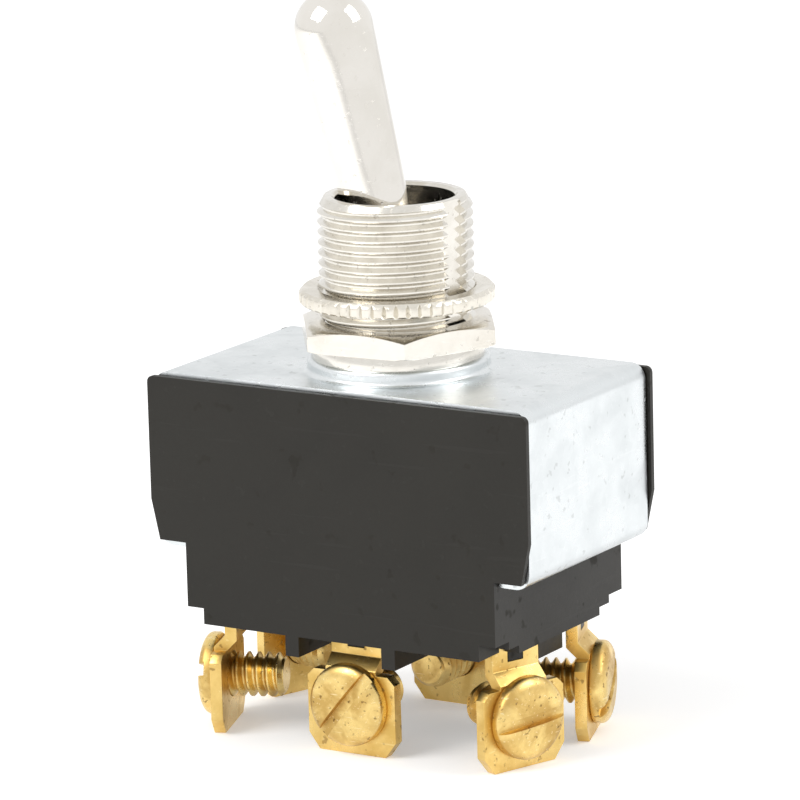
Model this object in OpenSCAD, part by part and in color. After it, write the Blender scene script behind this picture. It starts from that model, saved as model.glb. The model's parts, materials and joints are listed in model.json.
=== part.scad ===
// Double-pole panel toggle switch with a bat lever and six screw terminals.
// Origin: bushing axis at the frame's top face. +Z runs up the bushing, X is the long side.

/* [Case] */
// Length over the case's cheeks
case_len = 33.6; // [32:0.1:36]
// Width over the case's cheeks
case_w = 19.2; // [18.6:0.1:21]
// Depth of the cheeks below the frame's top face
cheek_drop = 13.2; // [13:0.1:14.5]
// How far the base block stands in from each end of the cheeks
base_step = 3.05; // [2.6:0.05:3.15]
// Depth of the base block's corners below the frame's top face
base_drop = 18.25; // [17.6:0.05:18.6]
// Depth of the base block's underside below the frame's top face
floor_drop = 19.5; // [19.2:0.1:20]
// How far the barrier ribs stand below the underside
rib_h = 1.6; // [0.8:0.1:1.8]
// Thickness of the two ribs between the terminal columns
rib_t = 1.2; // [0.8:0.1:1.6]
// Distance from the middle to the centre of each column rib
rib_x = 4.3; // [3.8:0.1:5]
// Thickness of the rib between the terminal rows
row_rib_t = 3.6; // [2:0.1:4]
// Thickness of the long side walls
wall_t = 1.6; // [1.2:0.1:1.8]
// Thickness of the end walls
end_wall_t = 1.65; // [1.2:0.05:1.8]
// Thickness of the base's end walls below the frame's lips
base_wall_t = 0.25; // [0.2:0.05:0.25]
// Thickness of the wall between the two poles
pole_wall_t = 1.2; // [0.8:0.1:2]

/* [Frame] */
// Sheet thickness of the frame
frame_t = 0.9; // [0.7:0.05:1]
// How far the cheeks stand proud of the frame's legs at each end
cheek_proud = 0.3; // [0.1:0.05:0.5]
// How far the frame's legs stand in from each side of the case
leg_inset = 0.6; // [0.5:0.1:2.1]
// Gap between the ends of the folded lips and the base block
lip_gap = 0.1; // [0.05:0.05:0.6]
// Outside radius of the bends
bend_r = 1.2; // [1.05:0.05:1.6]
// Diameter of the drawn boss under the bushing
boss_d = 14; // [13.6:0.1:15]
// Height of the drawn boss
boss_h = 1.1; // [0.8:0.05:1.4]
// Thickness of the fibre sheet under the frame
sheet_t = 0.4; // [0.2:0.05:0.6]

/* [Bushing and nuts] */
// Outside diameter of the mounting thread
thread_d = 11.906; // [11.7:0.002:12]
// Diameter at which the nuts and the bushing meet, the thread's pitch diameter
pitch_d = 11.4; // [11.2:0.05:11.5]
// Height of the bushing above the frame's top face
bushing_h = 13.5; // [12.6:0.1:16]
// Bore of the bushing
bushing_bore = 9.16; // [9.1:0.02:9.4]
// Diameter of the bushing's flange
flange_d = 13.2; // [12.6:0.1:13.4]
// Thickness of the bushing's flange
flange_t = 1.1; // [0.8:0.05:1.4]
// Width of the keyway along the thread
keyway_w = 2.1; // [1.6:0.05:2.4]
// Depth of the keyway
keyway_depth = 0.85; // [0.5:0.05:0.95]
// Angle of the keyway from the long axis
keyway_turn = -6; // [-20:1:20]
// Hex nut across its flats
hex_af = 14.3; // [13.6:0.1:15]
// Thickness of the hex nut
hex_t = 1.8; // [1.4:0.1:2]
// Gap left between the two nuts
nut_gap = 1.3; // [0.9:0.1:1.4]
// Diameter of the knurled ring nut
ring_d = 15; // [14.4:0.1:16]
// Thickness of the knurled ring nut
ring_t = 1.1; // [1.1:0.05:1.4]
// Number of flutes round the ring nut
flute_count = 50; // [36:1:60]

/* [Lever] */
// Height of the lever's pivot above the frame's top face
pivot_h = 5.85; // [5.8:0.05:5.9]
// Tilt of the lever either side of upright
lever_tilt = 14.1; // [12:0.1:14.1]
// Length of the lever from its pivot to its tip
lever_reach = 23.65; // [20:0.05:28]
// Diameter of the lever's rounded end
lever_tip_d = 6.06; // [5.4:0.02:6.4]
// Diameter of the lever at the bushing's mouth
lever_mouth_d = 5.16; // [4.6:0.02:5.2]
// Diameter of the lever's ball
ball_d = 8.7; // [8.2:0.1:8.8]
// Diameter of the lever's stem below the ball
stem_d = 5; // [4.6:0.1:5.2]
// Length of the stem below the pivot
stem_len = 9.5; // [9:0.1:10.5]
// Diameter of the cross pin
pin_d = 1; // [0.8:0.05:1]

/* [Mechanism] */
// Diameter of the plunger's stem
plunger_d = 3; // [2.4:0.1:3.2]
// Distance from the lever's pivot to the middle of the plunger's rounded feet
foot_reach = 15.8; // [15.6:0.05:16]
// Radius of the plunger's rounded feet
foot_r = 0.9; // [0.6:0.05:0.95]
// Wire thickness of the lever spring
wire_d = 0.34; // [0.25:0.01:0.4]
// Number of turns of the lever spring
spring_turns = 5; // [3:1:6]
// Height of the rockers' pivots above the contact chamber's floor
rocker_lift = 3.25; // [3.05:0.05:4]
// Distance from a side wall to the middle of its contact rocker
pole_inset = 2.8; // [2.7:0.05:2.9]
// Tilt of the contact rockers either side of level
rocker_tilt = 5; // [4:0.1:5.2]
// Angle that the rocker's arms rise at
arm_rise = 14; // [12:0.5:14.5]
// Width of a rocker
rocker_w = 2.9; // [2.4:0.1:3]
// Thickness of a rocker
rocker_t = 0.8; // [0.5:0.05:0.85]
// How far along the rocker a moving contact stands in from the end wall
contact_inset = 4.4; // [4.1:0.1:4.9]
// Diameter of the moving contact buttons
button_d = 3; // [2.2:0.1:3.2]

/* [Terminals] */
// Thickness of the terminal strip
strip_t = 0.95; // [0.8:0.05:1]
// Width of a terminal's plate
plate_w = 7.8; // [7:0.1:8.2]
// Height of a terminal's plate
plate_h = 6.4; // [6:0.1:7]
// Width of a terminal's neck
neck_w = 4.5; // [4:0.1:5]
// Width of the notch between the neck's prongs
notch_w = 1.5; // [1.2:0.1:1.8]
// Width of the tails inside the case
tail_w = 0.9; // [0.7:0.05:1]
// How far the plate stands out from its neck
joggle = 0.9; // [0.6:0.05:1.2]
// Drop from the base's underside to the top of the plates
plate_drop = 2.7; // [2.4:0.1:3]
// How far the middle plates stand in from the sides of the case
middle_inset = 1.4; // [1.2:0.05:1.5]
// How far the corner plates' middle sits inside the base block's end
corner_inset = 0.1; // [0.05:0.05:0.4]
// Distance from a side of the case to the centre of the corner plates
corner_side = 4.2; // [4.1:0.05:4.4]
// Splay of the corner plates towards the long sides
corner_splay = 20; // [15:1:22]
// Diameter of the terminal screws
screw_d = 3.5; // [3:0.05:3.6]
// Diameter of the screw heads
head_d = 6.44; // [5.6:0.02:6.8]
// Height of the screw heads
head_h = 1.45; // [1.1:0.05:1.7]
// Length of the screws below the head
screw_len = 5.2; // [4.6:0.1:5.6]
// Angle of the slot in the front middle screw
slot_turn = 130; // [0:1:180]

/* [Hidden] */
$fn = 64;

steel = "lightsteelblue";
nickel = "silver";
brass = "goldenrod";
phenolic = "#2c2a26";

// Clearances between pieces
loose = 0.05;
slip = 0.03;
edge_gap = 0.15;
foot_gap = 0.1;
touch_gap = 0.04;

// Heights up the bushing
flange_top = boss_h + flange_t;
hex_top = flange_top + hex_t;
ring_z = hex_top + nut_gap;
ring_top = ring_z + ring_t;
bushing_lead = 0.9;
bushing_lip_r = 5.3;
mouth_bevel = 0.24;
spigot_r = 5.3;
stake_r = 5.9;
stake_t = 0.5;
boss_round = 0.4;

// Case
base_len = case_len - 2 * base_step;
frame_len = case_len - 2 * cheek_proud;
recess_x = frame_len / 2 - frame_t - loose;
leg_w = case_w - 2 * leg_inset;
recess_w = leg_w + 2 * edge_gap;
lip_end = base_len / 2 + lip_gap;
cheek_bevel_x = 0.7;
cheek_bevel_z = 3.2;
cheek_r = 0.8;
lip_show = 0.45;
shoulder_drop = cheek_drop - lip_show;
bend_bevel = bend_r - frame_t + loose;
sheet_rest = -frame_t - sheet_t - loose;
rebate_l = 2 * recess_x - 1.1;
rebate_w = case_w - 1.2;
chamber_x = recess_x - end_wall_t;
chamber_w = case_w - 2 * wall_t;
floor_x = base_len / 2 - base_wall_t;
ledge_t = 0.5;
plateau_inset = 1.45;
plateau_len = base_len - 2 * plateau_inset;
step_w = case_w - 4;
end_plateau_w = case_w - 7;
step_drop = (base_drop + floor_drop) / 2;
row_rib_len = base_len - 1.7;

// Mechanism
lever_neck_d = 4.7;
lever_neck_h = 3;
mouth_reach = (bushing_h - pivot_h) / cos(lever_tilt);
tip_reach = lever_reach - lever_tip_d / 2;
spring_top = 2.6;
spring_bottom = 6.2;
spring_d = plunger_d - 0.2;
bar_top = foot_reach - 3.6;
bar_bottom = foot_reach - 1.8;
bar_half_w = 1.5;
foot_half_l = 1.2;
pole_y = chamber_w / 2 - pole_inset;
contact_reach = chamber_x - contact_inset;
rocker_z = pivot_h - foot_reach - foot_r - foot_gap - rocker_t / 2;
chamber_drop = rocker_lift - rocker_z;
bar_gap = 0.45;
pole_wall_drop = bar_bottom - pivot_h + bar_gap;
rocker_flat = 1.2;
arm_end = contact_reach + 0.9;
trunnion_r = 0.6;
ear_t = 0.55;
ear_half_l = 1.3;
base_plate_t = 0.8;
base_plate_in = 2.35;
base_plate_out = 2.45;
button_h = 0.7;
fixed_button_h = 0.6;
post_half_w = 1.45;

// Lowest rim of a closed moving button, worked out in the rocker's frame and then tilted
rim_x = contact_reach + button_h * sin(arm_rise) - button_d / 2 * cos(arm_rise);
rim_z = (contact_reach - rocker_flat) * tan(arm_rise) - rocker_t / 2
    - button_h * cos(arm_rise) - button_d / 2 * sin(arm_rise);
contact_z = rocker_z - rim_x * sin(rocker_tilt) + rim_z * cos(rocker_tilt) - touch_gap;
contact_x = (contact_reach + button_h * sin(arm_rise)) * cos(rocker_tilt);

// Terminals
corner_x = base_len / 2 - corner_inset;
corner_y = case_w / 2 - corner_side;
middle_out = case_w / 2 - middle_inset;
plate_top = -floor_drop - plate_drop;
plate_bottom = plate_top - plate_h;
plate_bevel_x = 0.95;
plate_bevel_z = 1.25;
plate_top_bevel = 0.6;
notch_z = -floor_drop - 0.9;
screw_below = 2.4;
screw_z = plate_top - screw_below;
tail_top = -chamber_drop + base_plate_t;
nub_h = 0.85;

// Where each terminal's outer face stands: place, and the turn from facing -Y
PLACES = [
    [[-corner_x, -corner_y], corner_splay - 90],
    [[0, -middle_out], 0],
    [[corner_x, -corner_y], 90 - corner_splay],
    [[-corner_x, corner_y], -90 - corner_splay],
    [[0, middle_out], 180],
    [[corner_x, corner_y], 90 + corner_splay]
];

// A rectangle centred on X, from height z0 up to z1, with the given corners rounded
module upright_rect(w, z0, z1, r_low, r_high) {
    translate([-w / 2, z0 + r_low]) square([w, z1 - z0 - r_low - r_high]);
    translate([-w / 2 + r_low, z0]) square([w - 2 * r_low, z1 - z0 - r_high]);
    translate([-w / 2 + r_high, z0 + r_low]) square([w - 2 * r_high, z1 - z0 - r_low]);
    for (side = [-1, 1]) {
        if (r_low > 0) translate([side * (w / 2 - r_low), z0 + r_low]) circle(r_low);
        if (r_high > 0) translate([side * (w / 2 - r_high), z1 - r_high]) circle(r_high);
    }
}

// Carries an outline drawn in X and Z through a width along Y
module across(w) {
    rotate([90, 0, 0]) linear_extrude(w, center = true) children();
}

// A box centred on X and Y, from height z0 up to z1
module block(l, w, z0, z1) {
    translate([-l / 2, -w / 2, z0]) cube([l, w, z1 - z0]);
}

// Puts children where one terminal's outer face stands
module at_terminal(i) {
    translate([PLACES[i][0][0], PLACES[i][0][1], 0]) rotate([0, 0, PLACES[i][1]]) children();
}

// Puts children on the lever's axis, with the pivot at the origin
module at_lever() {
    translate([0, 0, pivot_h]) rotate([0, -lever_tilt, 0]) children();
}

// Puts children on one rocker's pivot, in its rest tilt
module at_rocker(side) {
    translate([0, side * pole_y, rocker_z]) rotate([0, rocker_tilt, 0]) children();
}

// The two tails of a terminal, from height z0 up to z1, grown by a clearance
module tails(z0, z1, gap) {
    for (side = [-1, 1])
        translate([side * (notch_w + tail_w) / 2, joggle + strip_t / 2, 0])
            block(tail_w + 2 * gap, strip_t + 2 * gap, z0, z1);
}

module case_outline() {
    half = case_len / 2;
    upright_rect(case_len, -cheek_drop + cheek_bevel_z, -frame_t, 0, cheek_r);
    polygon([
        [-half, -cheek_drop + cheek_bevel_z], [-half + cheek_bevel_x, -cheek_drop],
        [half - cheek_bevel_x, -cheek_drop], [half, -cheek_drop + cheek_bevel_z]
    ]);
}

module base_block() {
    block(base_len, case_w, -base_drop, -shoulder_drop);
    block(plateau_len, case_w, -floor_drop, -shoulder_drop);
    block(base_len, step_w, -step_drop, -shoulder_drop);
    block(base_len, end_plateau_w, -floor_drop, -shoulder_drop);
    block(row_rib_len, row_rib_t, -floor_drop - rib_h, -floor_drop);
    for (side = [-1, 1])
        translate([side * rib_x, 0, 0]) block(rib_t, case_w, -floor_drop - rib_h, -floor_drop);
    for (i = [0:5])
        at_terminal(i) translate([0, joggle + strip_t / 2, 0])
            block(notch_w - 2 * loose, strip_t, -floor_drop - nub_h, -floor_drop + loose);
}

module chamber() {
    ledge_z = -shoulder_drop + ledge_t;
    block(2 * chamber_x, chamber_w, -pole_wall_drop, 0);
    for (side = [-1, 1]) {
        w = (chamber_w - pole_wall_t) / 2;
        translate([0, side * (pole_wall_t + w) / 2, 0])
            union() {
                block(2 * chamber_x, w, ledge_z, -pole_wall_drop);
                block(2 * floor_x, w, -chamber_drop, ledge_z);
            }
    }
    block(rebate_l, rebate_w, sheet_rest, 0);
}

// Room for the frame's legs, bends and lips at one end
module end_recess() {
    end_x = case_len / 2 + loose;
    across(recess_w) polygon([
        [recess_x - bend_bevel, 0], [recess_x - bend_bevel, -frame_t],
        [recess_x, -frame_t - bend_bevel], [recess_x, -shoulder_drop + bend_bevel],
        [recess_x - bend_bevel, -shoulder_drop], [base_len / 2, -shoulder_drop],
        [base_len / 2, -cheek_drop - loose], [end_x, -cheek_drop - loose], [end_x, 0]
    ]);
}

module case() {
    color(phenolic) difference() {
        union() {
            across(case_w) case_outline();
            base_block();
        }
        chamber();
        for (turn = [0, 180]) rotate([0, 0, turn]) end_recess();
        for (i = [0:5]) at_terminal(i) tails(-floor_drop - loose, -chamber_drop + loose, loose);
    }
}

module boss_outline() {
    r = boss_d / 2;
    translate([0, -frame_t]) square([r - boss_round, frame_t + boss_h]);
    translate([0, -frame_t]) square([r, frame_t + boss_h - boss_round]);
    translate([r - boss_round, boss_h - boss_round]) circle(boss_round);
    difference() {
        translate([r - loose, -loose]) square(boss_round + loose);
        translate([r + boss_round, boss_round]) circle(boss_round);
    }
}

module frame() {
    color(steel) difference() {
        union() {
            across(leg_w) difference() {
                upright_rect(frame_len, -shoulder_drop - loose - frame_t, 0, bend_r, bend_r);
                upright_rect(frame_len - 2 * frame_t, -shoulder_drop - loose, -frame_t,
                    bend_r - frame_t, bend_r - frame_t);
                translate([-lip_end, -cheek_drop - frame_t]) square([2 * lip_end, frame_t + lip_show]);
            }
            block(frame_len - 2 * bend_r, case_w, -frame_t, 0);
            rotate_extrude() boss_outline();
        }
        translate([0, 0, -frame_t - loose]) cylinder(r = spigot_r + slip, h = frame_t + boss_h + 2 * loose);
    }
}

module insulator_sheet() {
    color("peru") difference() {
        block(rebate_l - 2 * edge_gap, rebate_w - 2 * edge_gap, sheet_rest, sheet_rest + sheet_t);
        translate([0, 0, sheet_rest - loose]) cylinder(r = stake_r + edge_gap, h = sheet_t + 2 * loose);
    }
}

module bushing() {
    r = thread_d / 2;
    color(nickel) difference() {
        rotate_extrude() polygon([
            [0, -frame_t - stake_t], [stake_r, -frame_t - stake_t], [stake_r, -frame_t],
            [spigot_r, -frame_t], [spigot_r, boss_h], [flange_d / 2, boss_h],
            [flange_d / 2, flange_top], [pitch_d / 2, flange_top], [pitch_d / 2, ring_top],
            [r, ring_top], [r, bushing_h - bushing_lead], [bushing_lip_r, bushing_h], [0, bushing_h]
        ]);
        translate([0, 0, -frame_t - stake_t - loose])
            cylinder(d = bushing_bore, h = bushing_h + frame_t + stake_t + 2 * loose);
        translate([0, 0, bushing_h - mouth_bevel])
            cylinder(r1 = bushing_bore / 2, r2 = bushing_bore / 2 + mouth_bevel, h = mouth_bevel);
        rotate([0, 0, keyway_turn]) translate([r - keyway_depth, -keyway_w / 2, flange_top])
            cube([keyway_depth + loose, keyway_w, bushing_h]);
        translate([0, 0, pivot_h]) rotate([90, 0, 0])
            cylinder(d = pin_d + 2 * slip, h = thread_d, center = true);
    }
}

// Fluted outline: a flat crest and a V groove for each flute
module flute_outline() {
    step = 360 / flute_count;
    depth = 0.26;
    polygon([
        for (i = [0:flute_count - 1]) for (p = [[0, 0], [0.55, 0], [0.78, depth]])
            (ring_d / 2 - p[1]) * [cos((i + p[0]) * step), sin((i + p[0]) * step)]
    ]);
}

module ring_nut() {
    bevel = 0.3;
    sink_h = (thread_d - pitch_d) / 2 + edge_gap;
    r = ring_d / 2;
    color(nickel) difference() {
        intersection() {
            translate([0, 0, ring_z]) linear_extrude(ring_t) flute_outline();
            translate([0, 0, ring_z]) rotate_extrude() polygon([
                [0, 0], [r - bevel / 2, 0], [r + loose, bevel / 2 + loose],
                [r + loose, ring_t - bevel - loose], [r - bevel, ring_t], [0, ring_t]
            ]);
        }
        translate([0, 0, ring_z - loose]) cylinder(d = pitch_d + 2 * slip, h = ring_t + 2 * loose);
        translate([0, 0, ring_top - sink_h])
            cylinder(r1 = pitch_d / 2, r2 = pitch_d / 2 + sink_h + loose, h = sink_h + loose);
    }
}

module hex_nut() {
    corner_r = hex_af / 2 / cos(30);
    bevel_in = 1.25;
    bevel_h = 0.5;
    under_in = 0.4;
    under_h = 0.15;
    past = 1.1;
    color(nickel) difference() {
        intersection() {
            translate([0, 0, flange_top]) rotate([0, 0, 5]) cylinder(r = corner_r, h = hex_t, $fn = 6);
            translate([0, 0, flange_top]) rotate_extrude() polygon([
                [0, 0], [corner_r - under_in, 0], [corner_r + (past - 1) * under_in, past * under_h],
                [corner_r + (past - 1) * bevel_in, hex_t - past * bevel_h],
                [corner_r - bevel_in, hex_t], [0, hex_t]
            ]);
        }
        translate([0, 0, flange_top - loose]) cylinder(d = pitch_d + 2 * slip, h = hex_t + 2 * loose);
    }
}

module lever() {
    color(nickel) at_lever() difference() {
        union() {
            translate([0, 0, -stem_len]) cylinder(d = stem_d, h = stem_len);
            sphere(d = ball_d);
            translate([0, 0, lever_neck_h])
                cylinder(d1 = lever_neck_d, d2 = lever_mouth_d, h = mouth_reach - lever_neck_h);
            translate([0, 0, mouth_reach])
                cylinder(d1 = lever_mouth_d, d2 = lever_tip_d, h = tip_reach - mouth_reach);
            translate([0, 0, tip_reach]) sphere(d = lever_tip_d);
        }
        translate([0, 0, -stem_len - loose])
            cylinder(d = plunger_d + 2 * loose, h = stem_len - spring_top + loose);
        rotate([90, 0, 0]) cylinder(d = pin_d + 2 * loose, h = ball_d + loose, center = true);
    }
}

module lever_pin() {
    color(steel) translate([0, 0, pivot_h]) rotate([90, 0, 0])
        cylinder(d = pin_d, h = pitch_d - 2 * edge_gap, center = true);
}

// A coil swept round the lever's axis, from the plunger's top to the bore's end
module lever_spring() {
    sides = 8;
    per_turn = 20;
    steps = spring_turns * per_turn;
    coil_r = (spring_d - wire_d) / 2;
    rise = spring_bottom - spring_top - wire_d;
    points = [
        for (i = [0:steps]) for (k = [0:sides - 1])
            let (turn = 360 * i / per_turn, a = 360 * k / sides, r = coil_r + wire_d / 2 * cos(a))
                [r * cos(turn), r * sin(turn), -spring_bottom + wire_d / 2 + rise * i / steps + wire_d / 2 * sin(a)]
    ];
    walls = [
        for (i = [0:steps - 1]) for (k = [0:sides - 1])
            [i * sides + k, i * sides + (k + 1) % sides, (i + 1) * sides + (k + 1) % sides, (i + 1) * sides + k]
    ];
    first = [for (k = [sides - 1:-1:0]) k];
    last = [for (k = [0:sides - 1]) steps * sides + k];
    color(steel) at_lever() polyhedron(points, concat(walls, [first, last]), convexity = 10);
}

module plunger() {
    color("saddlebrown") at_lever() {
        translate([0, 0, -bar_top - loose]) cylinder(d = plunger_d, h = bar_top - spring_bottom + loose);
        block(2 * bar_half_w, 2 * (pole_y + foot_half_l), -bar_bottom, -bar_top);
        for (side = [-1, 1]) translate([0, side * pole_y, 0]) across(2 * foot_half_l) {
            translate([-foot_r, -foot_reach]) square([2 * foot_r, foot_reach - bar_bottom + loose]);
            translate([0, -foot_reach]) circle(foot_r);
        }
    }
}

module rocker(side) {
    half = rocker_t / 2;
    lift = (arm_end - rocker_flat) * tan(arm_rise);
    color("darkgoldenrod") at_rocker(side) {
        across(rocker_w) polygon([
            [-arm_end, lift - half], [-rocker_flat, -half], [rocker_flat, -half], [arm_end, lift - half],
            [arm_end, lift + half], [rocker_flat, half], [-rocker_flat, half], [-arm_end, lift + half]
        ]);
        for (end = [-1, 1]) translate([0, end * (rocker_w / 2 - loose), 0]) rotate([-90 * end, 0, 0])
            cylinder(r = trunnion_r, h = loose + edge_gap + ear_t);
    }
}

module rocker_buttons(side) {
    lift = (contact_reach - rocker_flat) * tan(arm_rise);
    color("gainsboro") at_rocker(side) for (end = [-1, 1])
        translate([end * contact_reach, 0, lift - rocker_t / 2]) rotate([0, -end * arm_rise, 0])
            translate([0, 0, -button_h]) cylinder(d = button_d, h = button_h);
}

module saddle(side) {
    floor_z = -chamber_drop;
    ear_y = rocker_w / 2 + edge_gap + ear_t / 2;
    slot_r = trunnion_r + loose;
    plate_w_y = base_plate_in + base_plate_out;
    color(brass) difference() {
        union() {
            translate([0, side * (pole_y + (base_plate_out - base_plate_in) / 2), 0])
                block(2 * base_plate_out, plate_w_y, floor_z, floor_z + base_plate_t);
            for (end = [-1, 1]) translate([0, side * pole_y + end * ear_y, 0])
                block(2 * ear_half_l, ear_t, floor_z, rocker_z + 0.5);
        }
        translate([0, side * pole_y, rocker_z]) {
            rotate([90, 0, 0]) cylinder(r = slot_r, h = 2 * base_plate_out, center = true);
            block(2 * slot_r, 2 * base_plate_out, 0, 1);
        }
        at_terminal(side < 0 ? 1 : 4) tails(floor_z - loose, tail_top, slip);
    }
}

module fixed_contact(end, side) {
    floor_z = -chamber_drop;
    inner_x = contact_x - post_half_w;
    outer_x = floor_x - loose;
    plate_in = pole_y - base_plate_in;
    plate_out = pole_y + base_plate_out;
    i = (side < 0 ? 0 : 3) + (end < 0 ? 0 : 2);
    color(brass) difference() {
        union() {
            translate([end * (inner_x + outer_x) / 2, side * (plate_in + plate_out) / 2, 0])
                block(outer_x - inner_x, plate_out - plate_in, floor_z, floor_z + base_plate_t);
            translate([end * contact_x, side * pole_y, 0])
                block(2 * post_half_w, 2 * post_half_w, floor_z, contact_z - fixed_button_h);
        }
        at_terminal(i) tails(floor_z - loose, tail_top, slip);
    }
}

module fixed_buttons() {
    color("gainsboro") for (end = [-1, 1]) for (side = [-1, 1])
        translate([end * contact_x, side * pole_y, contact_z - fixed_button_h])
            cylinder(d = 2 * post_half_w, h = fixed_button_h);
}

// Front outline of a terminal below its tails, drawn in X and Z
module terminal_outline() {
    w = plate_w / 2;
    n = neck_w / 2;
    notch = notch_w / 2;
    polygon([
        [-w + plate_bevel_x, plate_bottom], [w - plate_bevel_x, plate_bottom],
        [w, plate_bottom + plate_bevel_z], [w, plate_top - plate_top_bevel],
        [w - plate_top_bevel, plate_top], [n, plate_top], [n, -floor_drop], [notch, -floor_drop],
        [notch, notch_z], [-notch, notch_z], [-notch, -floor_drop], [-n, -floor_drop],
        [-n, plate_top], [-w + plate_top_bevel, plate_top], [-w, plate_top - plate_top_bevel],
        [-w, plate_bottom + plate_bevel_z]
    ]);
}

// Side outline of the strip: plate, joggle and neck, drawn in Y and Z
module strip_side() {
    bend = joggle;
    polygon([
        [0, plate_bottom], [strip_t, plate_bottom], [strip_t, plate_top - 0.1],
        [joggle + strip_t, plate_top - 0.1 + bend], [joggle + strip_t, -floor_drop],
        [joggle, -floor_drop], [joggle, plate_top + 0.3 + bend], [0, plate_top + 0.3]
    ]);
}

module terminal(i) {
    color(brass) at_terminal(i) difference() {
        union() {
            intersection() {
                across(8 * plate_w) terminal_outline();
                rotate([90, 0, 90]) linear_extrude(plate_w + 1, center = true) strip_side();
            }
            tails(-floor_drop - loose, tail_top - slip, 0);
        }
        translate([0, strip_t / 2, screw_z]) rotate([90, 0, 0])
            cylinder(d = screw_d + 2 * slip, h = strip_t + 2 * loose, center = true);
    }
}

// A binding-head screw along +Y, with the underside of its head on the origin
module screw(i, turn) {
    r = head_d / 2;
    shank = screw_d / 2;
    relief_r = shank - 0.4;
    relief = strip_t + 0.7;
    color(brass) at_terminal(i) translate([0, 0, screw_z]) rotate([-90, turn, 0]) difference() {
        rotate_extrude() polygon([
            [0, -head_h], [r * 0.45, -head_h * 0.95], [r * 0.8, -head_h * 0.78], [r * 0.95, -head_h * 0.58],
            [r, -head_h * 0.42], [r, -0.1], [r - 0.1, 0], [shank, 0], [shank, strip_t],
            [relief_r, strip_t], [relief_r, relief], [shank, relief], [shank, screw_len - 0.4],
            [shank - 0.4, screw_len], [0, screw_len]
        ]);
        translate([-r, -0.5, -head_h]) cube([2 * r, 1, head_h * 0.5]);
    }
}

case();
frame();
insulator_sheet();
bushing();
ring_nut();
hex_nut();
lever();
lever_pin();
lever_spring();
plunger();
rocker(-1);  // rocker_front
rocker(1);  // rocker_back
rocker_buttons(-1);  // rocker_buttons_front
rocker_buttons(1);  // rocker_buttons_back
saddle(-1);  // saddle_front
saddle(1);  // saddle_back
fixed_contact(-1, -1);  // fixed_contact_front_left
fixed_contact(1, -1);  // fixed_contact_front_right
fixed_contact(-1, 1);  // fixed_contact_back_left
fixed_contact(1, 1);  // fixed_contact_back_right
fixed_buttons();
terminal(0);  // terminal_front_left
terminal(1);  // terminal_front_middle
terminal(2);  // terminal_front_right
terminal(3);  // terminal_back_left
terminal(4);  // terminal_back_middle
terminal(5);  // terminal_back_right
screw(0, 160);  // screw_front_left
screw(1, slot_turn);  // screw_front_middle
screw(2, 176);  // screw_front_right
screw(3, 75);  // screw_back_left
screw(4, 110);  // screw_back_middle
screw(5, 145);  // screw_back_right
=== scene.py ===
import json
import math
import bpy
from mathutils import Matrix, Vector


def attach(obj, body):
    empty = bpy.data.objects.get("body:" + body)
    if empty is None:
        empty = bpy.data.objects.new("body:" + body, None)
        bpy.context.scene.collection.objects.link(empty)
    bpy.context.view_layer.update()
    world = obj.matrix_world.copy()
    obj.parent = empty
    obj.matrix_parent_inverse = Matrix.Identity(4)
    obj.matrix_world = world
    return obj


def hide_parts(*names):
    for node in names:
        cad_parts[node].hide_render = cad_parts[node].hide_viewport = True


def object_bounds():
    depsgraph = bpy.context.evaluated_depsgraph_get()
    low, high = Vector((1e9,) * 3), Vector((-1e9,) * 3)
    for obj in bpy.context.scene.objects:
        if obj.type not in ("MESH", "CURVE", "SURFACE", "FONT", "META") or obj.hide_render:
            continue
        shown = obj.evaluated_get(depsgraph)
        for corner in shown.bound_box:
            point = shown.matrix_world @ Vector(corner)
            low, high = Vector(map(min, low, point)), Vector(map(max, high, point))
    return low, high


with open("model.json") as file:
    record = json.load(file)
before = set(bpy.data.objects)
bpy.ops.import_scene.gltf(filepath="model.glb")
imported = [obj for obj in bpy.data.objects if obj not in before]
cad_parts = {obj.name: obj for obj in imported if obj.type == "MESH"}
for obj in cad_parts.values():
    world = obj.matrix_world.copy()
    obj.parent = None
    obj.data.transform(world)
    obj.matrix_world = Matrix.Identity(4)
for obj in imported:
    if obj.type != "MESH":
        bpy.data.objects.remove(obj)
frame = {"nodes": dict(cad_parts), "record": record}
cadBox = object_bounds()
nodes = frame["nodes"]
record = frame["record"]
mm = 0.001
print("stage: frame loaded,", len(nodes), "nodes")

# camera: a long lens a little above the switch, turned towards its right end
shot = {"azimuth": 31.873, "elevation": 13.033, "distance": 446.98, "aimZ": -2.61,
        "lens": 262.85, "roll": -1.522}


def placeCamera():
    a, e = math.radians(shot["azimuth"]), math.radians(shot["elevation"])
    back = Vector((math.sin(a) * math.cos(e), -math.cos(a) * math.cos(e), math.sin(e)))
    bpy.ops.object.camera_add(location=Vector((0, 0, shot["aimZ"] * mm)) + back * shot["distance"] * mm)
    camera = bpy.context.object
    turn = back.to_track_quat("Z", "Y").to_matrix() @ Matrix.Rotation(math.radians(shot["roll"]), 3, "Z")
    camera.rotation_euler = turn.to_euler()
    camera.data.lens = shot["lens"]
    camera.data.clip_start = 0.01
    camera.data.clip_end = 20
    bpy.context.scene.camera = camera


placeCamera()


def deselectAll():
    if bpy.context.object and bpy.context.object.mode != "OBJECT":
        bpy.ops.object.mode_set(mode="OBJECT")
    bpy.ops.object.select_all(action="DESELECT")


def takeUp(piece):
    deselectAll()
    piece.select_set(True)
    bpy.context.view_layer.objects.active = piece


def useModifier(piece, kind, **settings):
    takeUp(piece)
    modifier = piece.modifiers.new(kind.title(), kind)
    for key, value in settings.items():
        setattr(modifier, key, value)
    bpy.ops.object.modifier_apply(modifier=modifier.name)


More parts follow.
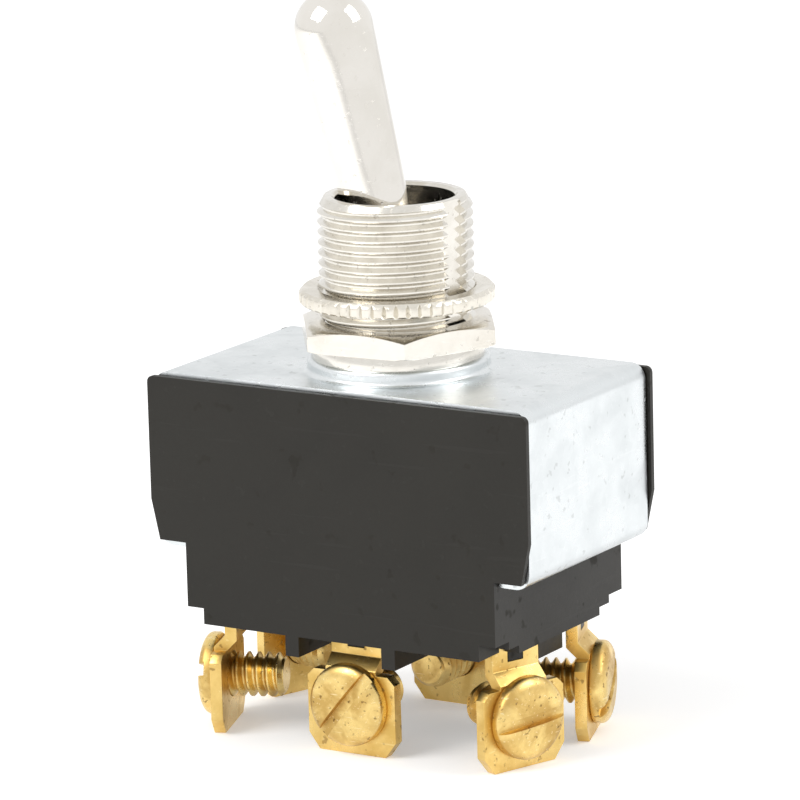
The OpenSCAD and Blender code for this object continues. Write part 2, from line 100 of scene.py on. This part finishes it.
def drawProfile(name, points):  # points are (radius, height) in mm
    deselectAll()
    bpy.ops.mesh.primitive_plane_add(size=mm, location=(points[0][0] * mm, 0, points[0][1] * mm))
    piece = bpy.context.object
    piece.name = name
    bpy.ops.object.transform_apply(location=True, rotation=True, scale=True)
    bpy.ops.object.mode_set(mode="EDIT")
    bpy.ops.mesh.merge(type="CENTER")
    for (r0, z0), (r1, z1) in zip(points, points[1:]):
        bpy.ops.mesh.extrude_region_move(
            TRANSFORM_OT_translate={"value": ((r1 - r0) * mm, 0, (z1 - z0) * mm)})
    bpy.ops.object.mode_set(mode="OBJECT")
    return piece


def cleanUp(piece, distance=0.0005):
    takeUp(piece)
    bpy.ops.object.mode_set(mode="EDIT")
    bpy.ops.mesh.select_all(action="SELECT")
    bpy.ops.mesh.remove_doubles(threshold=distance * mm)
    bpy.ops.mesh.normals_make_consistent(inside=False)
    bpy.ops.object.mode_set(mode="OBJECT")


def smoothUp(piece, angle=35):
    takeUp(piece)
    bpy.ops.object.shade_smooth_by_angle(angle=math.radians(angle))


def turnPiece(name, points, steps=96):
    piece = drawProfile(name, points)
    takeUp(piece)
    bpy.ops.object.mode_set(mode="EDIT")
    bpy.ops.mesh.select_all(action="SELECT")
    bpy.ops.mesh.spin(steps=steps, angle=2 * math.pi, center=(0, 0, 0), axis=(0, 0, 1))
    bpy.ops.object.mode_set(mode="OBJECT")
    cleanUp(piece)
    return piece


# a rod with a right-hand thread, closed at both ends, reaching past z0 and z1
def cutThread(name, thread, z0, z1, steps=96):
    p, r = thread["pitch"], thread["r"]
    root = r - thread["depth"]
    c, b = thread["crest"] * p / 2, thread["crestRound"]
    rootEnd = p / 2 - thread["root"] * p / 2
    tooth = [(root, -p / 2 + 0.02), (root, -rootEnd), (r - b, -c - b * 0.3), (r, -c + b * 0.4),
             (r, c - b * 0.4), (r - b, c + b * 0.3), (root, rootEnd)]
    count = int(math.ceil((z1 - z0) / p)) + 3
    points = [(x, z + z0 + (i - 0.5) * p) for i in range(count) for x, z in tooth]
    rod = drawProfile(name, points)
    useModifier(rod, "SCREW", angle=2 * math.pi, screw_offset=p * mm, steps=steps, render_steps=steps,
                use_merge_vertices=True, merge_threshold=0.0005 * mm, use_normal_calculate=True)
    takeUp(rod)
    bpy.ops.object.mode_set(mode="EDIT")
    bpy.ops.mesh.select_all(action="SELECT")
    bpy.ops.mesh.remove_doubles(threshold=0.0005 * mm)
    middle = (z0 + z1) / 2 * mm
    for end in (-1, 1):
        bpy.ops.mesh.select_all(action="DESELECT")
        bpy.ops.mesh.select_non_manifold()
        bpy.ops.object.mode_set(mode="OBJECT")
        for edge in rod.data.edges:
            if edge.select and (rod.data.vertices[edge.vertices[0]].co.z - middle) * end < 0:
                edge.select = False
        for vertex in rod.data.vertices:
            if vertex.select and (vertex.co.z - middle) * end < 0:
                vertex.select = False
        bpy.ops.object.mode_set(mode="EDIT")
        bpy.ops.mesh.extrude_region_move(TRANSFORM_OT_translate={"value": (0, 0, 0)})
        bpy.ops.mesh.merge(type="CENTER")
    bpy.ops.mesh.select_all(action="SELECT")
    bpy.ops.mesh.normals_make_consistent(inside=False)
    bpy.ops.object.mode_set(mode="OBJECT")
    return rod


# a plain cutter, never a piece
def addBox(name, low, high, turn=0):
    deselectAll()
    centre = [(a + b) / 2 * mm for a, b in zip(low, high)]
    bpy.ops.mesh.primitive_cube_add(size=1, location=centre)
    piece = bpy.context.object
    piece.name = name
    piece.scale = [(b - a) * mm for a, b in zip(low, high)]
    bpy.ops.object.transform_apply(location=True, rotation=True, scale=True)
    piece.data.transform(Matrix.Rotation(math.radians(turn), 4, "Z"))
    return piece


def carve(piece, tool, operation="DIFFERENCE"):
    useModifier(piece, "BOOLEAN", object=tool, operation=operation, solver="EXACT")
    bpy.data.objects.remove(tool)


def joinUp(pieces):
    deselectAll()
    for piece in pieces:
        piece.select_set(True)
    bpy.context.view_layer.objects.active = pieces[0]
    bpy.ops.object.join()
    return pieces[0]


# a merged copy of a CAD node with its sharp edges rounded over
def dressNode(node, name, width, segments=2, angle=30, flat=1.0, shape=None):
    source = nodes[node]
    piece = source.copy()
    piece.data = source.data.copy()
    for key in [k for k in piece.keys() if k.startswith("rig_")]:
        del piece[key]
    piece.parent = None
    piece.name = name
    bpy.context.scene.collection.objects.link(piece)
    takeUp(piece)
    if piece.data.has_custom_normals:
        bpy.ops.mesh.customdata_custom_splitnormals_clear()
    bpy.ops.object.mode_set(mode="EDIT")
    bpy.ops.mesh.select_all(action="SELECT")
    bpy.ops.mesh.remove_doubles(threshold=0.0005 * mm)
    if shape:
        shape(piece)
        takeUp(piece)
        bpy.ops.object.mode_set(mode="EDIT")
        bpy.ops.mesh.select_all(action="SELECT")
    bpy.ops.mesh.dissolve_limited(angle_limit=math.radians(flat))
    bpy.ops.object.mode_set(mode="OBJECT")
    useModifier(piece, "BEVEL", width=width * mm, segments=segments, limit_method="ANGLE",
                angle_limit=math.radians(angle), use_clamp_overlap=True)
    smoothUp(piece, angle)
    useModifier(piece, "WEIGHTED_NORMAL", keep_sharp=True)  # broad flats stay flat beside their rounded edges
    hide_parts(node)
    return piece


def newSocket(group, name, kind="NodeSocketFloat", inOut="INPUT", value=None):
    socket = group.interface.new_socket(name=name, in_out=inOut, socket_type=kind)
    if value is not None:
        socket.default_value = value


def addNode(tree, kind, **settings):
    node = tree.nodes.new(kind)
    for key, value in settings.items():
        setattr(node, key, value)
    return node


def calc(tree, operation, a, b=None):
    node = addNode(tree, "ShaderNodeMath", operation=operation)
    for socket, value in zip(node.inputs, (a, b)):
        if isinstance(value, (int, float)):
            socket.default_value = value
        elif value is not None:
            tree.links.new(value, socket)
    return node.outputs[0]


def spread(tree, value, low, high):  # 0 below low, 1 above high
    node = addNode(tree, "ShaderNodeMapRange", interpolation_type="SMOOTHSTEP")
    node.inputs["From Min"].default_value = low
    node.inputs["From Max"].default_value = high
    tree.links.new(value, node.inputs["Value"])
    return node.outputs["Result"]


def noise(tree, vector, scale, detail=3.0, distortion=0.0):
    node = addNode(tree, "ShaderNodeTexNoise")
    node.inputs["Scale"].default_value = scale
    node.inputs["Detail"].default_value = detail
    node.inputs["Distortion"].default_value = distortion
    tree.links.new(vector, node.inputs["Vector"])
    return node.outputs["Fac"]


# object space in units of Size mm, turned and stretched so that no pattern runs along an axis
def patternSpace(tree, size, stretch=(1, 1, 1), turn=(0.4, 0.7, 0.2)):
    place = addNode(tree, "ShaderNodeTexCoord")
    mapping = addNode(tree, "ShaderNodeMapping")
    mapping.inputs["Rotation"].default_value = turn
    mapping.inputs["Scale"].default_value = [1000 * k for k in stretch]
    tree.links.new(place.outputs["Object"], mapping.inputs["Vector"])
    shrink = addNode(tree, "ShaderNodeVectorMath", operation="SCALE")
    tree.links.new(mapping.outputs["Vector"], shrink.inputs[0])
    tree.links.new(calc(tree, "DIVIDE", 1.0, size), shrink.inputs["Scale"])
    return shrink.outputs["Vector"]


# handled surface: soft blotches, small pits of dirt and fine scratches
def makeWear():
    group = bpy.data.node_groups.new("handledWear", "ShaderNodeTree")
    newSocket(group, "Size", value=1.0)
    for name in ("Blotch", "Pits", "Scratch", "Height"):
        newSocket(group, name, inOut="OUTPUT")
    start, end = addNode(group, "NodeGroupInput"), addNode(group, "NodeGroupOutput")
    size = start.outputs["Size"]
    blotch = spread(group, noise(group, patternSpace(group, size), 0.45, 5.0, 0.6), 0.38, 0.66)
    pits = spread(group, noise(group, patternSpace(group, size, turn=(1.1, 0.2, 0.9)), 3.1, 2.0), 0.64, 0.72)
    lines = noise(group, patternSpace(group, size, (0.35, 7, 7), (0.3, 0.5, 0.8)), 1.0, 2.0)
    cross = noise(group, patternSpace(group, size, (6, 0.3, 6), (0.1, 0.9, -0.5)), 1.0, 2.0)
    scratch = calc(group, "MAXIMUM", spread(group, lines, 0.66, 0.70), spread(group, cross, 0.67, 0.71))
    height = calc(group, "SUBTRACT", calc(group, "MULTIPLY", blotch, 0.3), calc(group, "ADD", pits, calc(
        group, "MULTIPLY", scratch, 0.35)))
    for name, value in (("Blotch", blotch), ("Pits", pits), ("Scratch", scratch), ("Height", height)):
        group.links.new(value, end.inputs[name])
    return group


# crystals of a zinc coat or the grain of a moulding: cells of slightly different tone
def makeSpangle():
    group = bpy.data.node_groups.new("cellGrain", "ShaderNodeTree")
    newSocket(group, "Size", value=1.0)
    newSocket(group, "Cells", inOut="OUTPUT")
    newSocket(group, "Height", inOut="OUTPUT")
    start, end = addNode(group, "NodeGroupInput"), addNode(group, "NodeGroupOutput")
    space = patternSpace(group, start.outputs["Size"])
    cells = addNode(group, "ShaderNodeTexVoronoi")
    cells.inputs["Scale"].default_value = 1.0
    group.links.new(space, cells.inputs["Vector"])
    tone = addNode(group, "ShaderNodeSeparateColor")
    group.links.new(cells.outputs["Color"], tone.inputs["Color"])
    both = calc(group, "ADD", tone.outputs["Red"], noise(group, space, 2.3, 4.0))
    mixed = calc(group, "MULTIPLY", both, 0.5)
    group.links.new(mixed, end.inputs["Cells"])
    group.links.new(noise(group, space, 5.0, 3.0), end.inputs["Height"])
    return group


# drawing and turning marks: fine rings along the vertical axis
def makeToolMarks():
    group = bpy.data.node_groups.new("toolMarks", "ShaderNodeTree")
    newSocket(group, "Size", value=0.1)
    newSocket(group, "Rings", inOut="OUTPUT")
    start, end = addNode(group, "NodeGroupInput"), addNode(group, "NodeGroupOutput")
    space = patternSpace(group, start.outputs["Size"], (0.04, 0.04, 1), (0, 0, 0))
    group.links.new(noise(group, space, 1.0, 2.0), end.inputs["Rings"])
    return group


wear, spangle, toolMarks = makeWear(), makeSpangle(), makeToolMarks()


def useGroup(tree, group, size):
    node = addNode(tree, "ShaderNodeGroup", node_tree=group)
    node.inputs["Size"].default_value = size
    return node


def mixColor(tree, factor, a, b):
    node = addNode(tree, "ShaderNodeMix", data_type="RGBA")
    tree.links.new(factor, node.inputs["Factor"])
    for socket, value in ((node.inputs[6], a), (node.inputs[7], b)):
        if isinstance(value, tuple):
            socket.default_value = (*value, 1)
        else:
            tree.links.new(value, socket)
    return node.outputs[2]


# color and dark are the two tones of the surface, dirt fills its pits, light shows in its scratches
def newMaterial(name, color, dark, dirt, light, roughness, rougher=0.1, metallic=0.0, size=2.0, cell=0.5,
                blotch=1.0, cells=0.3, pits=0.6, scratch=0.4, rings=0.0, ringSize=0.1, bump=0.01, gloss=0.5):
    material = bpy.data.materials.new(name)
    material.use_nodes = True
    tree = material.node_tree
    shader = tree.nodes["Principled BSDF"]
    shader.inputs["Metallic"].default_value = metallic
    shader.inputs["Specular IOR Level"].default_value = gloss
    worn, grain = useGroup(tree, wear, size), useGroup(tree, spangle, cell)
    marks = useGroup(tree, toolMarks, ringSize)
    tone = calc(tree, "ADD", calc(tree, "MULTIPLY", worn.outputs["Blotch"], blotch),
                calc(tree, "MULTIPLY", grain.outputs["Cells"], cells))
    base = mixColor(tree, calc(tree, "MINIMUM", tone, 1.0), color, dark)
    base = mixColor(tree, calc(tree, "MULTIPLY", worn.outputs["Pits"], pits), base, dirt)
    base = mixColor(tree, calc(tree, "MULTIPLY", worn.outputs["Scratch"], scratch), base, light)
    tree.links.new(base, shader.inputs["Base Color"])
    rough = calc(tree, "ADD", roughness, calc(tree, "MULTIPLY", tone, rougher))
    rough = calc(tree, "ADD", rough, calc(tree, "MULTIPLY", worn.outputs["Pits"], 0.25))
    tree.links.new(rough, shader.inputs["Roughness"])
    height = calc(tree, "ADD", worn.outputs["Height"], calc(tree, "MULTIPLY", grain.outputs["Height"], 0.4))
    height = calc(tree, "ADD", height, calc(tree, "MULTIPLY", marks.outputs["Rings"], rings))
    relief = addNode(tree, "ShaderNodeBump")
    relief.inputs["Strength"].default_value = 1.0
    relief.inputs["Distance"].default_value = bump * mm
    tree.links.new(height, relief.inputs["Height"])
    tree.links.new(relief.outputs["Normal"], shader.inputs["Normal"])
    return material


def finish(piece, material):
    piece.data.materials.clear()
    piece.data.materials.append(material)
    for face in piece.data.polygons:
        face.material_index = 0


finishes = {
    "phenolic": newMaterial(
        "phenolicMoulding", (0.013, 0.0110, 0.0070), (0.0095, 0.0080, 0.0050),
        (0.035, 0.032, 0.026), (0.035, 0.033, 0.028), 0.40, 0.10, size=5.0, cell=0.22, cells=0.5,
        blotch=0.5, pits=0.15, scratch=0.12, bump=0.006, gloss=0.36),
    "zinc": newMaterial(
        "zincPlate", (0.76, 0.79, 0.80), (0.66, 0.69, 0.70), (0.42, 0.42, 0.40), (0.85, 0.87, 0.88),
        0.24, 0.14, 1.0, size=2.4, cell=0.7, cells=0.5, blotch=0.6, pits=0.25, scratch=0.2,
        bump=0.008),
    "fibre": newMaterial(
        "fibreSheet", (0.24, 0.11, 0.06), (0.16, 0.07, 0.04), (0.06, 0.03, 0.02),
        (0.34, 0.19, 0.11), 0.8, 0.1, size=1.2, cell=0.2, cells=0.7, scratch=0.8, bump=0.02),
    "nickel": newMaterial(
        "nickelPlate", (0.78, 0.755, 0.70), (0.66, 0.63, 0.57), (0.26, 0.23, 0.18),
        (0.88, 0.86, 0.82), 0.11, 0.10, 1.0, size=1.4, cell=0.3, cells=0.3, blotch=0.6, pits=0.2,
        scratch=0.2, rings=0.3, bump=0.005),
    "nut": newMaterial(
        "nutNickel", (0.80, 0.765, 0.69), (0.66, 0.62, 0.54), (0.28, 0.24, 0.17),
        (0.90, 0.87, 0.82), 0.15, 0.12, 1.0, size=1.8, cell=0.35, cells=0.3, blotch=0.7, pits=0.3,
        scratch=0.25, bump=0.008),
    "hex": newMaterial(
        "hexNickel", (0.78, 0.75, 0.69), (0.69, 0.65, 0.58), (0.30, 0.26, 0.20), (0.88, 0.86, 0.82),
        0.16, 0.10, 1.0, size=2.2, cell=0.4, cells=0.3, blotch=0.6, pits=0.2, scratch=0.25,
        rings=0.2, bump=0.006),
    "polish": newMaterial(
        "polishedNickel", (0.84, 0.81, 0.76), (0.76, 0.73, 0.67), (0.40, 0.37, 0.32),
        (0.93, 0.91, 0.87), 0.035, 0.06, 1.0, size=1.6, cell=0.5, cells=0.2, blotch=0.5, pits=0.12,
        scratch=0.1, rings=0.15, ringSize=0.3, bump=0.003),
    "steel": newMaterial(
        "groundSteel", (0.60, 0.60, 0.59), (0.48, 0.47, 0.45), (0.2, 0.17, 0.13),
        (0.75, 0.75, 0.74), 0.26, 0.12, 1.0, size=0.8, cell=0.2, rings=0.2, bump=0.004),
    "spring": newMaterial(
        "springSteel", (0.50, 0.50, 0.50), (0.38, 0.37, 0.36), (0.14, 0.12, 0.1), (0.7, 0.7, 0.7),
        0.32, 0.12, 1.0, size=0.5, cell=0.15, bump=0.003),
    "brass": newMaterial(
        "stampedBrass", (0.86, 0.63, 0.24), (0.66, 0.44, 0.13), (0.20, 0.11, 0.04),
        (0.93, 0.78, 0.42), 0.24, 0.14, 1.0, size=2.0, cell=0.4, cells=0.3, pits=0.5, scratch=0.3,
        bump=0.006),
    "screw": newMaterial(
        "screwBrass", (0.88, 0.66, 0.26), (0.58, 0.38, 0.12), (0.14, 0.08, 0.03),
        (0.95, 0.82, 0.50), 0.25, 0.15, 1.0, size=1.3, cell=0.3, cells=0.35, pits=0.6, scratch=0.5,
        bump=0.008),
    "inner": newMaterial(
        "innerBrass", (0.80, 0.62, 0.30), (0.68, 0.50, 0.23), (0.25, 0.16, 0.07), (0.9, 0.78, 0.5),
        0.28, 0.12, 1.0, size=1.5, cell=0.3, bump=0.005),
    "plunger": newMaterial(
        "plungerMoulding", (0.13, 0.055, 0.032), (0.085, 0.036, 0.022), (0.05, 0.02, 0.01),
        (0.2, 0.1, 0.07), 0.48, 0.1, size=1.5, cell=0.2, cells=0.5, bump=0.006),
    "copper": newMaterial(
        "rockerCopper", (0.74, 0.44, 0.25), (0.58, 0.30, 0.15), (0.2, 0.08, 0.04),
        (0.85, 0.6, 0.42), 0.26, 0.14, 1.0, size=1.2, cell=0.3, bump=0.005),
    "silver": newMaterial(
        "contactSilver", (0.88, 0.86, 0.82), (0.70, 0.66, 0.58), (0.25, 0.2, 0.14),
        (0.95, 0.94, 0.92), 0.22, 0.14, 1.0, size=0.9, cell=0.2, bump=0.004),
}
nodeFinish = {
    "insulator_sheet": "fibre", "lever_pin": "steel", "lever_spring": "spring", "plunger": "plunger",
    "rocker_front": "copper", "rocker_back": "copper", "rocker_buttons_front": "silver",
    "rocker_buttons_back": "silver", "fixed_buttons": "silver",
}
for name, node in nodes.items():
    finish(node, finishes[nodeFinish.get(name, "inner")])
print("stage: finishes,", len(finishes))

bushing = {"r": 5.953, "bore": 4.58, "top": 13.5, "lip": 5.3, "lead": 0.9, "mouthBevel": 0.24, "foot": 2.2,
           "keyway": 2.1, "keywayFloor": 5.35, "keywayTurn": -6, "flangeR": 6.6, "flangeT": 1.1,
           "spigotR": 5.3, "stakeR": 5.9, "stakeT": 0.5, "sheet": 0.9}
bushingThread = {"pitch": 0.794, "r": 5.953, "depth": 0.43, "crest": 0.2, "root": 0.16, "crestRound": 0.06}


def makeBushing():
    b = bushing
    low = b["foot"] - 0.3
    rod = cutThread("threadedBushing", bushingThread, low, b["top"], 128)
    blank = turnPiece("blank", [
        (b["bore"], low), (b["r"] - 0.55, low), (b["r"] - 0.1, b["foot"] + 0.3),
        (b["r"] + 0.001, b["foot"] + 0.4),
        (b["r"] + 0.001, b["top"] - b["lead"]), (b["lip"] + 0.12, b["top"] - 0.04), (b["lip"], b["top"]),
        (b["bore"] + b["mouthBevel"], b["top"]), (b["bore"], b["top"] - b["mouthBevel"]),
        (b["bore"], low)], 128)
    carve(rod, blank, "INTERSECT")
    carve(rod, addBox("keyCutter", (b["keywayFloor"], -b["keyway"] / 2, low - 1),
                      (8, b["keyway"] / 2, b["top"] + 1), b["keywayTurn"]))
    f, under = b["flangeR"], -b["sheet"] - b["stakeT"]
    body = turnPiece("bushingBody", [
        (b["bore"], under), (b["stakeR"] - 0.1, under),
        (b["stakeR"], under + 0.1), (b["stakeR"], -b["sheet"]), (b["spigotR"], -b["sheet"]),
        (b["spigotR"], b["flangeT"]), (f, b["flangeT"]), (f, b["foot"] - 0.25), (f - 0.07, b["foot"] - 0.07),
        (f - 0.25, b["foot"]), (b["bore"], b["foot"]), (b["bore"], under)], 128)
    rod = joinUp([rod, body])
    smoothUp(rod, 30)
    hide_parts("bushing")
    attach(rod, "base")
    finish(rod, finishes["nickel"])


makeBushing()
print("stage: bushing")

lever = {"pivot": 5.85, "tilt": 14.1, "reach": 23.65, "tipD": 6.06, "mouthD": 5.16, "ballD": 8.7,
         "stemD": 5.0, "stem": 9.5, "neckD": 4.7, "mouth": 7.888, "boreR": 1.55, "boreTop": 2.6}


def makeLever():
    v = lever
    tip = v["reach"] - v["tipD"] / 2
    ball, stem = v["ballD"] / 2, v["stemD"] / 2
    start = math.asin(stem / ball)
    end = math.asin(v["neckD"] / 2 / ball)
    points = [(0, -v["boreTop"]), (v["boreR"], -v["boreTop"]), (v["boreR"], -v["stem"]),
              (stem - 0.15, -v["stem"]), (stem, -v["stem"] + 0.15)]
    for i in range(21):
        a = start + (math.pi - end - start) * i / 20
        points.append((ball * math.sin(a), -ball * math.cos(a)))
    points.append((v["mouthD"] / 2, v["mouth"]))
    for i in range(1, 5):
        points.append((v["mouthD"] / 2 + (v["tipD"] - v["mouthD"]) / 2 * i / 5,
                       v["mouth"] + (tip - v["mouth"]) * i / 5))
    for i in range(17):
        a = math.pi / 2 * i / 16
        points.append((v["tipD"] / 2 * math.cos(a), tip + v["tipD"] / 2 * math.sin(a)))
    piece = turnPiece("batLever", points, 96)
    piece.data.transform(Matrix.Translation((0, 0, v["pivot"] * mm))
                         @ Matrix.Rotation(math.radians(-v["tilt"]), 4, "Y"))
    smoothUp(piece, 40)
    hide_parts("lever")
    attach(piece, "lever")
    finish(piece, finishes["polish"])


makeLever()
print("stage: lever")

housing = {"len": 33.6, "w": 19.2, "strapW": 18.0, "rimIn": 9.15, "rimTop": -0.3, "rimFoot": -1.7,
           "cornerR": 0.5, "sheet": 0.9}


def trimStrap(piece):  # the same width over the top as down the legs
    for side in (-1, 1):
        y = sorted((side * housing["strapW"] / 2, side * (housing["w"] / 2 + 1)))
        carve(piece, addBox("sideCutter", (-20, y[0], -housing["sheet"] - 0.1), (20, y[1], 0.1)))


def addRims(piece):  # the long walls rise beside the strap, with round corners at their ends
    h = housing
    for side in (-1, 1):
        y = sorted((side * h["rimIn"], side * h["w"] / 2))
        rim = addBox("rimBlank", (-h["len"] / 2, y[0], h["rimFoot"]), (h["len"] / 2, y[1], h["rimTop"]))
        takeUp(rim)
        bpy.ops.object.mode_set(mode="EDIT")
        bpy.ops.mesh.select_mode(type="EDGE")
        bpy.ops.mesh.select_all(action="DESELECT")
        bpy.ops.object.mode_set(mode="OBJECT")
        for edge in rim.data.edges:
            a, b = (rim.data.vertices[v].co for v in edge.vertices)
            edge.select = abs(a.x - b.x) < 1e-6 and min(a.z, b.z) > (h["rimTop"] - 0.01) * mm
        bpy.ops.object.mode_set(mode="EDIT")
        bpy.ops.mesh.bevel(offset=h["cornerR"] * mm, segments=6, affect="EDGES")
        bpy.ops.mesh.select_mode(type="VERT")
        bpy.ops.object.mode_set(mode="OBJECT")
        carve(piece, rim, "UNION")


for node, name, width, slot, key, shape in (
        ("ring_nut", "knurledNut", 0.06, "nickel_nut", "nut", None),
        ("hex_nut", "hexNut", 0.08, "nickel_hex", "hex", None),
        ("frame", "strapFrame", 0.10, "zinc_steel", "zinc", trimStrap),
        ("case", "switchCase", 0.15, "phenolic", "phenolic", addRims)):
    piece = dressNode(node, name, width, shape=shape)
    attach(piece, "base")
    finish(piece, finishes[key])
print("stage: nuts, frame and case")

for row in ("front", "back"):
    for place in ("left", "middle", "right"):
        piece = dressNode(f"terminal_{row}_{place}", f"terminal{row.title()}{place.title()}", 0.06)
        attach(piece, "base")
        finish(piece, finishes["brass"])
print("stage: terminals")

screw = {"headR": 3.22, "headH": 1.45, "crown": 0.42, "flat": 0.62, "slotW": 0.95,
         "slotDepth": 0.75, "length": 5.2}
screwThread = {"pitch": 0.794, "r": 1.75, "depth": 0.42, "crest": 0.2, "root": 0.16, "crestRound": 0.05}
slotTurns = {"front_left": 160, "front_middle": 130, "front_right": 176,
             "back_left": 75, "back_middle": 110, "back_right": 145}


# along +Z, with the underside of its head on the origin
def makeScrew():
    s = screw
    r, h = s["headR"], s["headH"]
    crown, flat = s["crown"] * h, s["flat"] * r
    points = [(0, -0.02), (r - 0.12, 0), (r, -0.12), (r, -crown)]
    for i in range(1, 9):
        a = math.pi / 2 * i / 8
        points.append((flat + (r - flat) * (math.cos(a) if i < 8 else 0),
                       -crown - (h * 0.93 - crown) * math.sin(a)))
    points += [(r * 0.3, -h * 0.985), (0, -h)]
    head = turnPiece("screwHead", points, 64)
    carve(head, addBox("slotCutter", (-r - 1, -s["slotW"] / 2, -h - 1),
                       (r + 1, s["slotW"] / 2, -h + s["slotDepth"])))
    useModifier(head, "BEVEL", width=0.05 * mm, segments=2, limit_method="ANGLE",
                angle_limit=math.radians(40))
    rod = cutThread("screwRod", screwThread, 0, s["length"], 40)
    over = screwThread["r"] + 0.001
    blank = turnPiece("blank", [(0, -0.1), (over, -0.1), (over, s["length"] - 0.4), (1.3, s["length"]),
                                (0, s["length"])], 40)
    carve(rod, blank, "INTERSECT")
    piece = joinUp([head, rod])
    smoothUp(piece, 35)
    return piece


def placeScrews():
    model = makeScrew()
    for mount in record["mounts"]:
        if mount["kind"] != "other":
            continue
        place = mount["name"].replace("terminal_", "").replace("_wire", "")
        outward = Vector(mount["axis"])
        piece = model.copy()
        piece.data = model.data.copy()
        row, side = place.split("_")
        piece.name = "screw" + row.title() + side.title()
        bpy.context.scene.collection.objects.link(piece)
        facing = math.atan2(outward.x, -outward.y)
        piece.data.transform(
            Matrix.Translation(mount["pos_m"]) @ Matrix.Rotation(facing, 4, "Z")
            @ Matrix.Rotation(math.radians(-90), 4, "X")
            @ Matrix.Rotation(math.radians(slotTurns[place]), 4, "Z"))
        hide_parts("screw_" + place)
        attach(piece, "base")
        finish(piece, finishes["screw"])
    bpy.data.objects.remove(model)


placeScrews()
print("stage: screws")

studio = {"floorSize": 6.0, "world": 0.55, "floorGlow": 0.35}


def backgroundRays(tree):  # 1 where the camera, a reflection or glass looks at it
    path = addNode(tree, "ShaderNodeLightPath")
    seen = calc(tree, "MAXIMUM", path.outputs["Is Camera Ray"], path.outputs["Is Glossy Ray"])
    return calc(tree, "MAXIMUM", seen, path.outputs["Is Transmission Ray"])


def makeStage():
    deselectAll()
    bpy.ops.mesh.primitive_plane_add(size=studio["floorSize"], location=(0, 0, cadBox[0].z - 0.00002))
    floor = bpy.context.object
    floor.name = "studioFloor"
    material = bpy.data.materials.new("paleFloor")
    material.use_nodes = True
    tree = material.node_tree
    shader = tree.nodes["Principled BSDF"]
    shader.inputs["Base Color"].default_value = (0.9, 0.9, 0.9, 1)
    shader.inputs["Roughness"].default_value = 0.9
    shader.inputs["Emission Color"].default_value = (1, 1, 1, 1)
    glow = calc(tree, "MULTIPLY", backgroundRays(tree), studio["floorGlow"])
    tree.links.new(glow, shader.inputs["Emission Strength"])
    finish(floor, material)

    world = bpy.data.worlds.new("studioWorld")
    bpy.context.scene.world = world
    world.use_nodes = True
    tree = world.node_tree
    background = tree.nodes["Background"]
    background.inputs["Color"].default_value = (1, 1, 1, 1)
    strength = calc(tree, "MAXIMUM", backgroundRays(tree), studio["world"])
    tree.links.new(strength, background.inputs["Strength"])


def addSoftbox(name, azimuth, elevation, distance, size, power):
    a, e = math.radians(azimuth), math.radians(elevation)
    away = Vector((math.sin(a) * math.cos(e), -math.cos(a) * math.cos(e), math.sin(e)))
    deselectAll()
    bpy.ops.object.light_add(type="AREA", location=away * distance)
    light = bpy.context.object
    light.name = name
    light.data.shape = "RECTANGLE"
    light.data.size, light.data.size_y = size
    light.data.energy = power
    light.rotation_euler = away.to_track_quat("Z", "Y").to_euler()


makeStage()
addSoftbox("keySoftbox", -30, 45, 0.6, (0.35, 0.35), 2.0)
addSoftbox("rimSoftbox", 110, 40, 0.6, (0.3, 0.4), 1.2)
print("stage: studio")

scene = bpy.context.scene
scene.view_settings.view_transform = "Standard"
